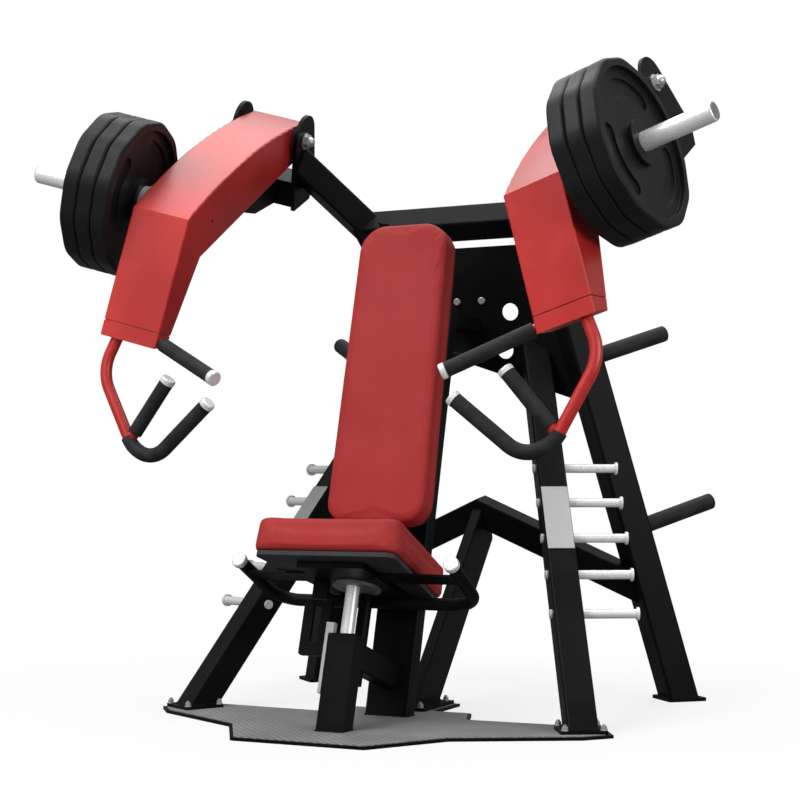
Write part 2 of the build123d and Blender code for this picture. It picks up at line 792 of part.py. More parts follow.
def back_brackets():
    """Short tubes from the column to the back board."""
    plane, up = back_plane(BACK_THICK + BOARD_THICK)
    brackets = []
    for height in BACK_BRACKET_HEIGHTS:
        start = plane.origin + up * height
        end = start - plane.z_dir * 260
        beam = tube(start, end, 70, 40, (1, 0, 0), corner=5)
        pieces = (beam - column(bar)).solids().sort_by(Axis.Y)
        brackets.append(pieces[0])
    return group(brackets)


# ---------------------------------------------------------------- seat


def seat_frame(down=0.0):
    """Plane of the seat's top face: local x along +X, local y to the back, z out of the seat."""
    tilt = radians(SEAT_TILT)
    back, out = Vector(0, cos(tilt), -sin(tilt)), Vector(0, sin(tilt), cos(tilt))
    origin = Vector(0, *SEAT_FRONT_TOP) - out * down
    return Plane(origin=origin, x_dir=(1, 0, 0), z_dir=out)


def seat_outline(inset):
    front, rear = SEAT_FRONT_WIDTH / 2 - inset, SEAT_REAR_WIDTH / 2 - inset
    points = [(-front, inset), (front, inset), (rear, SEAT_LENGTH - inset), (-rear, SEAT_LENGTH - inset)]
    face = make_face(Polyline(*points, close=True))
    return fillet(face.vertices(), SEAT_CORNER - inset)


def seat_pad():
    pad = extrude(seat_frame(SEAT_THICK) * seat_outline(0), SEAT_THICK)
    return fillet(pad.faces().sort_by(Axis.Z)[-1].edges(), 14)


def seat_board():
    return extrude(seat_frame(SEAT_THICK + BOARD_THICK) * seat_outline(12), BOARD_THICK - 0.2)


SLIDE = Vector(0, sin(radians(POST_LEAN)), cos(radians(POST_LEAN)))
POST_FOOT = Vector(0, POST_FOOT_Y, 0)
CARRIAGE_WIDTH = 190.0
CARRIAGE_TALL = 16.0
CARRIAGE_SPAN = (64.0, 400.0)  # from the seat's front edge towards its back
STRAP_SPAN = (160.0, 236.0)
STRAP_REACH = 304.0
STRAP_THICK = 6.0
FLANGE_RADIUS = 64.0
FLANGE_THICK = 8.0
FLANGE_MIDDLE = 234.0
TURN_GUIDE_OFFSET = 87.0  # behind the guide rod
TURN_GUIDE_LOW = 112.0
TURN_GUIDE_RADIUS = 18.0
TURN_GUIDE_GAP = 0.3
GRAB_RADIUS = 17.0
GRAB_END = (306, -221, 434)
GRAB_CORNER = (298, -24, 322)
GRAB_BEND = 70.0


def on_post(height, behind=0.0):
    """Point on the post's slanted centre line at a height, or on a line behind it."""
    return POST_FOOT + SLIDE * (height / SLIDE.Z) + Vector(0, behind, 0)


def grab_path():
    left = [(-x, y, z) for x, y, z in (GRAB_END, GRAB_CORNER)]
    return FilletPolyline(GRAB_END, GRAB_CORNER, left[1], left[0], radius=GRAB_BEND)


def grab_bar():
    """U-shaped hand bar that passes behind the carriage."""
    return swept_tube(grab_path(), GRAB_RADIUS, GRAB_RADIUS - 3)


def grab_caps():
    path = grab_path()
    return group([end_cap(path @ 1, path % 1), end_cap(path @ 0, -(path % 0))])


def seat_layer(depth, thick, sketch):
    """A flat piece parallel to the seat, its top face at a depth below the seat's own."""
    return extrude(seat_frame(depth + thick) * sketch, thick)


BOARD_UNDERSIDE = SEAT_THICK + BOARD_THICK
CARRIAGE_UNDERSIDE = BOARD_UNDERSIDE + CARRIAGE_TALL


def seat_carriage():
    """Shallow box under the board with a strap out to each arm of the grab bar."""
    near, far = CARRIAGE_SPAN
    box_face = Pos(0, (near + far) / 2) * Rectangle(CARRIAGE_WIDTH, far - near)
    block = seat_layer(BOARD_UNDERSIDE, CARRIAGE_TALL, box_face)
    block = fillet(block.edges().filter_by(Axis.X), 4)
    near, far = STRAP_SPAN
    strap_face = Pos(0, (near + far) / 2) * Rectangle(2 * STRAP_REACH, far - near)
    carriage = block + seat_layer(BOARD_UNDERSIDE, STRAP_THICK, strap_face) + lever_bracket()
    return biggest(carriage - swept_tube(grab_path(), GRAB_RADIUS))


def seat_flange():
    """Round plate under the carriage that the guide rod and the turn guide meet."""
    return seat_layer(CARRIAGE_UNDERSIDE, FLANGE_THICK, Pos(0, FLANGE_MIDDLE) * Circle(FLANGE_RADIUS))


def below_flange(rod_piece):
    """A rod cut off where it meets the flange's lower face."""
    above = seat_frame(CARRIAGE_UNDERSIDE + FLANGE_THICK) * Pos(0, 0, 200) * Box(900, 1600, 400)
    return biggest(rod_piece - above)


def guide_rod():
    """Polished rod that carries the seat and slides in the post."""
    return below_flange(rod(on_post(118), on_post(420), ROD_RADIUS))


def seat_beam_blank(shape=tube):
    """The sloping member, longer than the gap that it bridges."""
    run = (SEAT_BEAM_REAR - SEAT_BEAM_FRONT).normalized()
    down = Vector(0, run.Z, -run.Y) * SEAT_BEAM_TALL / 2
    end = SEAT_BEAM_REAR + down + run * 40
    return shape(SEAT_BEAM_FRONT + down, end, SEAT_BEAM_WIDTH, SEAT_BEAM_TALL, (1, 0, 0), corner=6)


def seat_beam():
    """Sloping tube from the post back to the column."""
    post = bar(on_post(-20), on_post(400), POST_WIDTH, POST_DEPTH, (1, 0, 0))
    guide_hole = rod(
        on_post(0, TURN_GUIDE_OFFSET), on_post(400, TURN_GUIDE_OFFSET), TURN_GUIDE_RADIUS + TURN_GUIDE_GAP
    )
    return biggest(seat_beam_blank() - column(bar) - post - guide_hole)


def seat_post():
    top = on_post(POST_TOP)
    post = tube(on_post(-40), top, POST_WIDTH, POST_DEPTH, (1, 0, 0), corner=6)
    return post - level_cut(BASE_THICK + MAT_THICK)


def post_bush():
    """Plastic guide that fills the top of the post round the guide rod."""
    width, depth = POST_WIDTH - 2 * WALL, POST_DEPTH - 2 * WALL
    inside = bar(on_post(170), on_post(POST_TOP), width, depth, (1, 0, 0), 3)
    return inside - rod(on_post(100), on_post(300), ROD_RADIUS + RUNNING_GAP)


STRIP_THICK = 9.0
STRIP_DEPTH = 20.0
STRIP_LOW = 96.0
STRIP_TOP = 274.0
STRIP_TAB = 22.0  # how far the strip's head reaches over the post


def on_section(height):
    """Plane across the post at a height, local x along +X."""
    return Plane(origin=on_post(height), x_dir=(1, 0, 0), z_dir=SLIDE)


def scale_strip():
    """Flat metal strip on the post's -X side, with a head that laps over the post's top."""
    side, front = -POST_WIDTH / 2 - STRIP_THICK / 2, -POST_DEPTH / 2 + STRIP_DEPTH / 2 + 2
    strip = Pos(side, front) * Rectangle(STRIP_THICK, STRIP_DEPTH)
    head = Pos(side + (STRIP_TAB - STRIP_THICK) / 2, front) * Rectangle(STRIP_TAB, STRIP_DEPTH)
    long = (on_post(STRIP_TOP) - on_post(STRIP_LOW)).length
    tall = (on_post(STRIP_TOP) - on_post(POST_TOP)).length
    return extrude(on_section(STRIP_LOW) * strip, long) + extrude(on_section(POST_TOP) * head, tall)


def turn_guide():
    """Round bar behind the guide rod that keeps the seat from turning."""
    low, high = on_post(TURN_GUIDE_LOW, TURN_GUIDE_OFFSET), on_post(420, TURN_GUIDE_OFFSET)
    return below_flange(rod(low, high, TURN_GUIDE_RADIUS))


LEVER_TOP = 334.0
LEVER_LOW = 192.0
LEVER_MIDDLE_X = -93.0
LEVER_WIDTH = 80.0
LEVER_SLOT = (23.0, 96.0)
LEVER_SLOT_UP = 8.0
LEVER_THICK = 10.0
LEVER_CORNER = 9.0
LEVER_SLOT_CORNER = 6.0


def lever_pivot():
    """Point on the finger loop's hinge line."""
    return on_post(LEVER_TOP) + Vector(LEVER_MIDDLE_X, 0, 0)


def release_lever():
    """Flat finger loop that hangs beside the post; its plane's local y points down."""
    low, high = on_post(LEVER_LOW), on_post(LEVER_TOP)
    length = (high - low).length
    plane = Plane(origin=(low + high) / 2 + Vector(LEVER_MIDDLE_X, 0, 0), x_dir=(1, 0, 0),
                  z_dir=SLIDE.cross(Vector(1, 0, 0)))
    slot = Pos(0, -LEVER_SLOT_UP) * RectangleRounded(*LEVER_SLOT, LEVER_SLOT_CORNER)
    ring = RectangleRounded(LEVER_WIDTH, length, LEVER_CORNER) - slot
    return extrude(plane * ring, LEVER_THICK / 2, both=True)


HANGER_GAP = 3.0
HANGER_WIDTH = 44.0
HANGER_DEPTH = 14.0


def lever_bracket():
    """Hanger on the carriage that the finger loop turns on."""
    low = lever_pivot() + SLIDE * HANGER_GAP
    hanger = bar(low, low + SLIDE * 200, HANGER_WIDTH, HANGER_DEPTH, (1, 0, 0), corner=2)
    above = seat_frame(BOARD_UNDERSIDE + STRAP_THICK / 2) * Pos(0, 0, 200) * Box(900, 1600, 400)
    return biggest(hanger - above)


# ---------------------------------------------------------------- pegs, horns, plates on the legs

PEG_HEIGHTS = (684.0, 587.0, 490.0, 393.0, 292.0)
PEG_RADIUS = 12.5
PEG_LENGTH = 150.0
PEG_TIP_RADIUS = 18.0
PEG_TIP_THICK = 6.0
PEG_NUT_RADIUS = 13.0
PEG_NUT_THICK = 6.0
STORAGE_HEIGHTS = (1005.0, 503.0)
STORAGE_RISE = 0.33
STORAGE_LENGTH = 235.0
STORAGE_RADIUS = 24.0
STORAGE_ROUND = 9.0


def outboard(across):
    """Level outward normal of a leg's side face on the +X side."""
    return across if across.X > 0 else across * -1


def band_pegs():
    """Pegs on the outer faces of the front legs, each with a round nut on the inner face."""
    pegs = []
    out = outboard(FRONT_ACROSS)
    for height in PEG_HEIGHTS:
        middle = front_leg_point(height)
        end = middle + out * (TUBE / 2 + PEG_LENGTH)
        tip = rod(end, end + out * PEG_TIP_THICK, PEG_TIP_RADIUS)
        pegs.append(biggest(rod(middle, end, PEG_RADIUS) + tip - front_leg(bar)))
        inner = middle - out * (TUBE / 2)
        pegs.append(rod(inner, inner - out * PEG_NUT_THICK, PEG_NUT_RADIUS))
    return both_sides(pegs)


def storage_horns():
    """Rubber-covered horns for spare plates on the rear legs."""
    horns = []
    away = Vector(cos(radians(REAR_TURN)), sin(radians(REAR_TURN)), STORAGE_RISE)
    out = away.normalized()
    for height in STORAGE_HEIGHTS:
        start = rear_leg_point(height)
        far = start + out * (STORAGE_LENGTH + REAR_TUBE / 2)
        piece = rod(start, far, STORAGE_RADIUS)
        rim = [e for e in piece.edges().filter_by(GeomType.CIRCLE) if near_point(e, far)]
        piece = fillet(rim, STORAGE_ROUND)
        pieces = (piece - rear_leg(bar)).solids().sort_by(Axis.X)
        horns.append(pieces[-1])
    return both_sides(horns)


BLANK_PLATE_SPAN = (440.0, 607.0)
BLANK_PLATE_WIDTH = 74.0


def blank_plates():
    """Plain metal plates on the front faces of the front legs."""
    low, high = (front_leg_point(height) for height in BLANK_PLATE_SPAN)
    front = FRONT_ACROSS.cross((high - low).normalized())
    front = front if front.Y < 0 else front * -1
    shift = front * (TUBE / 2 + 1.5)
    plate = bar(low + shift, high + shift, BLANK_PLATE_WIDTH, 3, FRONT_ACROSS, corner=1.2)
    return both_sides([plate])


# ---------------------------------------------------------------- write every node


def write_frame():
    save("base_plate", base_plate())
    save("floor_mat", floor_mat())
    save("foot_plates", group([foot_plates(), centre_foot_plate()]))
    save("foot_bolts", foot_bolts())
    for name, piece in (
        ("front_leg", front_leg()),
        ("rear_leg", rear_leg()),
        ("upper_beam", upper_beam()),
        ("yoke", yoke()),
    ):
        save(f"{name}_right", piece)
        save(f"{name}_left", mirrored(piece))
    save("chevron_brace", chevron())
    save("centre_leg", centre_leg())
    save("column", column())
    save("column_ties", column_ties())
    save("crossbar", crossbar())
    save("back_panel", back_panel())
    save("panel_bolts", panel_bolts())
    save("stop_bumpers", both_sides([stop_bumper()]))
    save("pivot_shafts", both_sides([pivot_shaft(), pivot_nuts()]))
    save("back_pad", back_pad())
    save("back_board", back_board())
    save("back_brackets", back_brackets())
    save("seat_post", seat_post())
    save("post_bush", post_bush())
    save("seat_beam", seat_beam())
    save("scale_strip", scale_strip())
    save("band_pegs", band_pegs())
    save("storage_horns", storage_horns())
    save("blank_plates", blank_plates())


def write_arms():
    for name, piece in (
        ("arm_shell", arm_shell()),
        ("arm_hub", arm_hub()),
        ("arm_bearings", arm_bearings()),
        ("arm_tip_cap", arm_tip_cap()),
        ("plate_horn", horn()),
        ("handle_frame", handle_frame()),
        ("curved_grip", curved_grip()),
        ("straight_grips", straight_grips()),
        ("grip_end_caps", grip_end_caps()),
        ("weight_plates", weight_plates()),
    ):
        save(f"{name}_right", piece)
        save(f"{name}_left", mirrored(piece))


def write_seat():
    save("seat_pad", seat_pad())
    save("seat_board", seat_board())
    save("seat_carriage", seat_carriage())
    save("seat_flange", seat_flange())
    save("guide_rod", guide_rod())
    save("turn_guide", turn_guide())
    save("grab_bar", grab_bar())
    save("grab_caps", grab_caps())
    save("release_lever", release_lever())


if __name__ == "__main__":
    write_frame()
    write_arms()
    write_seat()
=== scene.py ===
"""Looks of the plate-loaded incline chest press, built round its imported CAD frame. Metres, +Z up."""

import json
import math

import bmesh
import bpy
import numpy as np
from mathutils import Matrix, Vector, noise


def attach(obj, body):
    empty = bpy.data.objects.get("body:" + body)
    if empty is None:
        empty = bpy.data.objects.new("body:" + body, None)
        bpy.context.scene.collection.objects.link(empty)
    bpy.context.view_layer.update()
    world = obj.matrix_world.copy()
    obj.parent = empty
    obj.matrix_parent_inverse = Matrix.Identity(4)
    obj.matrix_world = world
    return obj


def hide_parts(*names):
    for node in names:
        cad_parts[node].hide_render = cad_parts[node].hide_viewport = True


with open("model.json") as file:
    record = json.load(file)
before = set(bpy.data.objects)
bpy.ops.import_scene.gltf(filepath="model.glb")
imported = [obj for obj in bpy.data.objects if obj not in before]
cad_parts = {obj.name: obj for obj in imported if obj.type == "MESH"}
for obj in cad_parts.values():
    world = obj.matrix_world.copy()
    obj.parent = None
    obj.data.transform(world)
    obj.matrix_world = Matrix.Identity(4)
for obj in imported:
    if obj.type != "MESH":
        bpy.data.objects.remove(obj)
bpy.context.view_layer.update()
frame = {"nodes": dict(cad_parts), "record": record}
NODES = frame["nodes"]
MM = 0.001

# ---------------------------------------------------------------- camera, light and floor

CAMERA_TURN = math.radians(25.2)  # towards -X from straight in front
CAMERA_AWAY = 4.656  # level distance from the origin, along the view
CAMERA_ASIDE = 0.0455  # level distance to the right of the view's line
CAMERA_HEIGHT = 0.640
LENS = 77.6
LENS_SHIFT = (0.0031, 0.105)
LIT_MIDDLE = (0, 0, 0.9)  # what the lights point at
SKY_LOW = (0.34, 0.34, 0.345, 1)
SKY_HIGH = (0.95, 0.95, 0.95, 1)
SKY_STRENGTH = 0.50
FLOOR_RADIUS = 9.0
FLOOR_FADE = (0.5, 2.4)  # distances between which the floor clears
FLOOR_CLEAR = (0.75, 1.0)  # how clear it is at each of them


def make_camera():
    ahead = Vector((-math.sin(CAMERA_TURN), math.cos(CAMERA_TURN), 0))
    right = Vector((math.cos(CAMERA_TURN), math.sin(CAMERA_TURN), 0))
    camera = bpy.data.objects.new("camera", bpy.data.cameras.new("camera"))
    camera.data.lens = LENS
    camera.data.shift_x, camera.data.shift_y = LENS_SHIFT
    camera.location = right * CAMERA_ASIDE - ahead * CAMERA_AWAY + Vector((0, 0, CAMERA_HEIGHT))
    camera.rotation_euler = (math.radians(90), 0, CAMERA_TURN)
    bpy.context.scene.collection.objects.link(camera)
    bpy.context.scene.camera = camera


def area_light(name, place, target, size, power, lights="both"):
    """Round soft light that acts on diffuse shading, on glossy reflections or on both."""
    data = bpy.data.lights.new(name, "AREA")
    data.shape = "DISK"
    data.size = size
    data.energy = power
    lamp = bpy.data.objects.new(name, data)
    lamp.location = place
    lamp.rotation_euler = (Vector(target) - Vector(place)).to_track_quat("-Z", "Y").to_euler()
    lamp.visible_diffuse = lights != "glossy"
    lamp.visible_glossy = lights != "diffuse"
    bpy.context.scene.collection.objects.link(lamp)


def make_lights():
    area_light("key", (-1.8, -2.6, 4.2), LIT_MIDDLE, 2.6, 120)
    area_light("sheen", (0.0, 0.9, 4.6), (0, 0.3, 1.4), 5.0, 180, "glossy")
    area_light("front_fill", (-0.9, -4.8, 2.2), LIT_MIDDLE, 3.2, 105, "diffuse")
    area_light("side_fill", (4.4, -1.2, 2.0), LIT_MIDDLE, 3.2, 85)
    area_light("back_fill", (0.6, 4.2, 2.6), LIT_MIDDLE, 3.0, 60, "diffuse")


def make_world():
    """A pale dome, white where it shows and dimmer towards the horizon where it lights."""
    world = bpy.data.worlds.new("studio")
    bpy.context.scene.world = world
    world.use_nodes = True
    nodes, links = world.node_tree.nodes, world.node_tree.links
    nodes.clear()
    where = nodes.new("ShaderNodeTexCoord")
    height = nodes.new("ShaderNodeSeparateXYZ")
    links.new(where.outputs["Generated"], height.inputs[0])
    fade = nodes.new("ShaderNodeValToRGB")
    fade.color_ramp.elements[0].position = 0.0
    fade.color_ramp.elements[0].color = SKY_LOW
    fade.color_ramp.elements[1].position = 0.8
    fade.color_ramp.elements[1].color = SKY_HIGH
    links.new(height.outputs["Z"], fade.inputs["Fac"])
    glow = nodes.new("ShaderNodeBackground")
    links.new(fade.outputs["Color"], glow.inputs["Color"])
    glow.inputs["Strength"].default_value = SKY_STRENGTH
    white = nodes.new("ShaderNodeBackground")
    white.inputs["Color"].default_value = (1, 1, 1, 1)
    seen = nodes.new("ShaderNodeLightPath")
    mix = nodes.new("ShaderNodeMixShader")
    links.new(seen.outputs["Is Camera Ray"], mix.inputs["Fac"])
    links.new(glow.outputs[0], mix.inputs[1])
    links.new(white.outputs[0], mix.inputs[2])
    out = nodes.new("ShaderNodeOutputWorld")
    links.new(mix.outputs[0], out.inputs["Surface"])


def make_floor():
    """Pale round floor, mostly clear so that only a soft shadow shows on the white backdrop."""
    mesh = bpy.data.meshes.new("floor")
    form = bmesh.new()
    bmesh.ops.create_circle(form, cap_ends=True, segments=96, radius=FLOOR_RADIUS)
    form.to_mesh(mesh)
    form.free()
    floor = bpy.data.objects.new("floor", mesh)
    bpy.context.scene.collection.objects.link(floor)
    m = Paint("floor_pale", (0.93, 0.93, 0.935), 0.75)
    reach = m.add("ShaderNodeVectorMath", operation="LENGTH")
    m.link(m.place, reach.inputs[0])
    far = m.ramp(reach.outputs["Value"], *FLOOR_FADE, *FLOOR_CLEAR)
    clear = m.add("ShaderNodeBsdfTransparent")
    mix = m.add("ShaderNodeMixShader")
    m.link(far, mix.inputs["Fac"])
    m.link(m.shader.outputs[0], mix.inputs[1])
    m.link(clear.outputs[0], mix.inputs[2])
    m.link(mix.outputs[0], m.output.inputs["Surface"])
    mesh.materials.append(m.material)
    floor.visible_diffuse = floor.visible_glossy = False


# ---------------------------------------------------------------- materials


class Paint:
    """A Principled material with short calls for the nodes that give it its detail."""

    def __init__(self, name, colour, roughness, metallic=0.0, **inputs):
        self.material = bpy.data.materials.new(name)
        self.material.use_nodes = True
        self.tree = self.material.node_tree
        self.tree.nodes.clear()
        self.output = self.add("ShaderNodeOutputMaterial")
        self.shader = self.add("ShaderNodeBsdfPrincipled")
        self.shader.inputs["Base Color"].default_value = (*colour, 1)
        self.shader.inputs["Roughness"].default_value = roughness
        self.shader.inputs["Metallic"].default_value = metallic
        for key, value in inputs.items():
            self.shader.inputs[key.replace("_", " ")].default_value = value
        self.link(self.shader.outputs[0], self.output.inputs["Surface"])
        self.place = self.add("ShaderNodeTexCoord").outputs["Object"]

    def add(self, kind, **settings):
        node = self.tree.nodes.new(kind)
        for key, value in settings.items():
            setattr(node, key, value)
        return node

    def link(self, source, target):
        self.tree.links.new(source, target)

    def noise(self, scale, detail=3.0, rough=0.5, where=None):
        node = self.add("ShaderNodeTexNoise")
        node.inputs["Scale"].default_value = scale
        node.inputs["Detail"].default_value = detail
        node.inputs["Roughness"].default_value = rough
        self.link(where or self.place, node.inputs["Vector"])
        return node.outputs["Fac"]

    def cells(self, scale):
        node = self.add("ShaderNodeTexVoronoi")
        node.inputs["Scale"].default_value = scale
        self.link(self.place, node.inputs["Vector"])
        return node.outputs["Distance"]

    def stretched(self, x, y, z):
        """Object coordinates scaled unevenly, for grain that runs one way."""
        node = self.add("ShaderNodeMapping")
        node.inputs["Scale"].default_value = (x, y, z)
        self.link(self.place, node.inputs["Vector"])
        return node.outputs["Vector"]

    def ramp(self, value, low, high, to_low=0.0, to_high=1.0):
        node = self.add("ShaderNodeMapRange", interpolation_type="SMOOTHSTEP")
        node.inputs["From Min"].default_value = low
        node.inputs["From Max"].default_value = high
        node.inputs["To Min"].default_value = to_low
        node.inputs["To Max"].default_value = to_high
        self.link(value, node.inputs["Value"])
        return node.outputs["Result"]

    def math(self, operation, a, b):
        node = self.add("ShaderNodeMath", operation=operation)
        for socket, value in zip(node.inputs, (a, b)):
            if isinstance(value, (int, float)):
                socket.default_value = value
            else:
                self.link(value, socket)
        return node.outputs[0]

    def mix(self, share, a, b):
        """Colour mix of two colours or sockets."""
        node = self.add("ShaderNodeMix", data_type="RGBA")
        for socket, value in ((node.inputs[6], a), (node.inputs[7], b)):
            if isinstance(value, tuple):
                socket.default_value = (*value, 1)
            else:
                self.link(value, socket)
        self.link(share, node.inputs[0])
        return node.outputs[2]

    def edges(self, radius, low=0.04, high=0.4):
        """1 along worn outer edges, 0 elsewhere."""
        soft = self.add("ShaderNodeBevel", samples=4)
        soft.inputs["Radius"].default_value = radius
        geometry = self.add("ShaderNodeNewGeometry")
        dot = self.add("ShaderNodeVectorMath", operation="DOT_PRODUCT")
        self.link(soft.outputs[0], dot.inputs[0])
        self.link(geometry.outputs["Normal"], dot.inputs[1])
        turned = self.math("SUBTRACT", 1.0, dot.outputs["Value"])
        return self.ramp(turned, low, high)

    def tint(self, socket):
        self.link(socket, self.shader.inputs["Base Color"])

    def rough(self, socket):
        self.link(socket, self.shader.inputs["Roughness"])

    def bump(self, *layers, edge=0.0):
        """Adds bump layers (height socket, distance), over softened edges when edge is a radius."""
        normal = None
        if edge:
            soft = self.add("ShaderNodeBevel", samples=4)
            soft.inputs["Radius"].default_value = edge
            normal = soft.outputs[0]
        for height, distance in layers:
            node = self.add("ShaderNodeBump")
            node.inputs["Strength"].default_value = 1.0
            node.inputs["Distance"].default_value = distance
            self.link(height, node.inputs["Height"])
            if normal is not None:
                self.link(normal, node.inputs["Normal"])
            normal = node.outputs[0]
        self.link(normal, self.shader.inputs["Normal"])
        return self


def powder_coat(name, colour, worn, roughness, gloss):
    """Satin powder coat: orange peel, faint clouding, scuffs, and thin wear on its edges."""
    m = Paint(name, colour, roughness, Specular_IOR_Level=gloss)
    cloud = m.noise(4.0, 4.0, 0.6)
    light = tuple(min(1.0, c * 1.12 + 0.002) for c in colour)
    dark = tuple(c * 0.90 for c in colour)
    base = m.mix(m.ramp(cloud, 0.35, 0.65), dark, light)
    chips = m.ramp(m.noise(95.0, 5.0, 0.65), 0.52, 0.66)
    wear = m.math("MULTIPLY", m.edges(0.0022), chips)
    m.tint(m.mix(m.math("MULTIPLY", wear, 0.55), base, worn))
    scuff = m.ramp(m.noise(26.0, 6.0, 0.7, m.stretched(1, 1, 5)), 0.58, 0.75)
    even = m.ramp(cloud, 0.3, 0.7, roughness - 0.035, roughness + 0.035)
    m.rough(m.math("ADD", even, m.math("MULTIPLY", scuff, 0.10)))
    m.bump((m.noise(520.0, 2.0), 0.00016), (m.noise(150.0, 2.0), 0.00010), edge=0.0018)
    return m.material


def vinyl(name, colour):
    """Upholstery vinyl: leather-like grain, faint handling marks and slow colour drift."""
    m = Paint(name, colour, 0.6, Specular_IOR_Level=0.14)
    drift = m.noise(3.2, 3.0, 0.55)
    dark = tuple(c * 0.93 for c in colour)
    light = tuple(min(1.0, c * 1.06 + 0.002) for c in colour)
    grain = m.cells(560.0)
    pores = m.ramp(grain, 0.05, 0.42)
    base = m.mix(m.ramp(drift, 0.3, 0.7), dark, light)
    pits = m.math("MULTIPLY", m.math("SUBTRACT", 1.0, pores), 0.35)
    m.tint(m.mix(pits, base, tuple(c * 0.72 for c in colour)))
    rub = m.noise(9.0, 5.0, 0.6)
    m.rough(m.ramp(rub, 0.3, 0.75, 0.50, 0.64))
    m.bump((m.noise(38.0, 3.0), 0.0005), (grain, 0.00030), (m.noise(1500.0, 2.0), 0.00006))
    return m.material


def chrome():
    """Satin plating: pale, softly bright, with polishing lines and dull patches."""
    m = Paint("chrome_plate", (0.90, 0.905, 0.91), 0.26, 0.36)
    haze = m.noise(14.0, 5.0, 0.6)
    fine = m.noise(420.0, 3.0, 0.6, m.stretched(1, 1, 0.08))
    m.tint(m.mix(m.ramp(haze, 0.45, 0.8), (0.90, 0.905, 0.91), (0.83, 0.835, 0.84)))
    m.rough(m.math("ADD", m.ramp(haze, 0.3, 0.8, 0.22, 0.32), m.math("MULTIPLY", fine, 0.06)))
    m.bump((fine, 0.00002), edge=0.0012)
    return m.material


BRUSHED = (1, 1, 0.02)  # stretch that draws noise out into lines


def steel(name, colour, roughness, metal):
    """Brushed steel with grain one way, dull patches and fine scratches."""
    m = Paint(name, colour, roughness, metal)
    lines = m.noise(900.0, 2.0, 0.6, m.stretched(*BRUSHED))
    dull = m.noise(12.0, 4.0, 0.6)
    m.tint(m.mix(m.ramp(lines, 0.25, 0.75), tuple(c * 0.80 for c in colour), colour))
    patches = m.ramp(dull, 0.3, 0.7, roughness - 0.05, roughness + 0.07)
    m.rough(m.math("ADD", patches, m.math("MULTIPLY", lines, 0.10)))
    m.bump((lines, 0.00003), edge=0.001)
    return m.material


def foam_rubber():
    """Closed-cell foam sleeve: matt, finely pitted, a little shiny where hands rub it."""
    m = Paint("foam_rubber", (0.020, 0.021, 0.023), 0.62, Specular_IOR_Level=0.16)
    pits = m.cells(900.0)
    hands = m.noise(18.0, 4.0, 0.6)
    m.tint(m.mix(m.ramp(hands, 0.35, 0.7), (0.015, 0.016, 0.017), (0.028, 0.029, 0.031)))
    m.rough(m.ramp(hands, 0.3, 0.75, 0.52, 0.70))
    m.bump((pits, 0.00018), (m.noise(60.0, 3.0), 0.00025), edge=0.002)
    return m.material


def coated_iron():
    """Rubber-like black coating on cast iron: moulded grain, grey rubbing on the high rims."""
    m = Paint("coated_iron", (0.011, 0.0115, 0.012), 0.46, Specular_IOR_Level=0.14)
    rub = m.ramp(m.noise(30.0, 6.0, 0.7), 0.45, 0.75)
    wear = m.math("MULTIPLY", m.edges(0.004, 0.02, 0.3), rub)
    m.tint(m.mix(m.math("MULTIPLY", wear, 0.55), (0.0100, 0.0104, 0.0108), (0.050, 0.050, 0.052)))
    m.rough(m.ramp(m.noise(7.0, 4.0), 0.3, 0.7, 0.36, 0.50))
    m.bump((m.cells(420.0), 0.00018), (m.noise(45.0, 3.0), 0.00030), edge=0.003)
    return m.material


def tread_rubber():
    """Dark grey mat with a raised lozenge tread: painted shade darkens the grooves between the lozenges,
    and a dusty tone varies at random.
    """
    m = Paint("tread_rubber", (0.11, 0.11, 0.115), 0.72)
    wave = m.add("ShaderNodeTexWave", bands_direction="DIAGONAL")
    wave.inputs["Scale"].default_value = 26.0
    wave.inputs["Distortion"].default_value = 0.0
    m.link(m.stretched(1, 1, 0), wave.inputs["Vector"])
    cross = m.add("ShaderNodeTexWave", bands_direction="DIAGONAL")
    cross.inputs["Scale"].default_value = 26.0
    m.link(m.stretched(-1, 1, 0), cross.inputs["Vector"])
    ribs = [m.ramp(band.outputs["Fac"], 0.45, 0.75) for band in (wave, cross)]
    tread = m.math("MULTIPLY", *ribs)
    dust = m.noise(5.0, 5.0, 0.6)
    # Painted shade: the grooves between the lozenges (low) are darker than the raised tops (high); the dust
    # noise shifts both at random.
    low = m.mix(m.ramp(dust, 0.35, 0.7), (0.175, 0.176, 0.180), (0.235, 0.235, 0.233))
    high = m.mix(m.ramp(dust, 0.35, 0.7), (0.300, 0.302, 0.308), (0.385, 0.385, 0.383))
    m.tint(m.mix(tread, low, high))
    m.rough(m.ramp(dust, 0.3, 0.7, 0.62, 0.80))
    m.bump((tread, 0.0009), (m.noise(700.0, 3.0), 0.00015))
    return m.material


def moulded_plastic(name, colour):
    """Stippled plastic with slow changes of tone and shine."""
    m = Paint(name, colour, 0.5, Specular_IOR_Level=0.15)
    stipple = m.cells(620.0)
    blot = m.noise(11.0, 4.0, 0.6)
    dark = tuple(c * 0.85 for c in colour)
    light = tuple(c * 1.2 + 0.002 for c in colour)
    m.tint(m.mix(m.ramp(blot, 0.3, 0.7), dark, light))
    m.rough(m.ramp(blot, 0.3, 0.7, 0.42, 0.58))
    m.bump((stipple, 0.00010), edge=0.001)
    return m.material


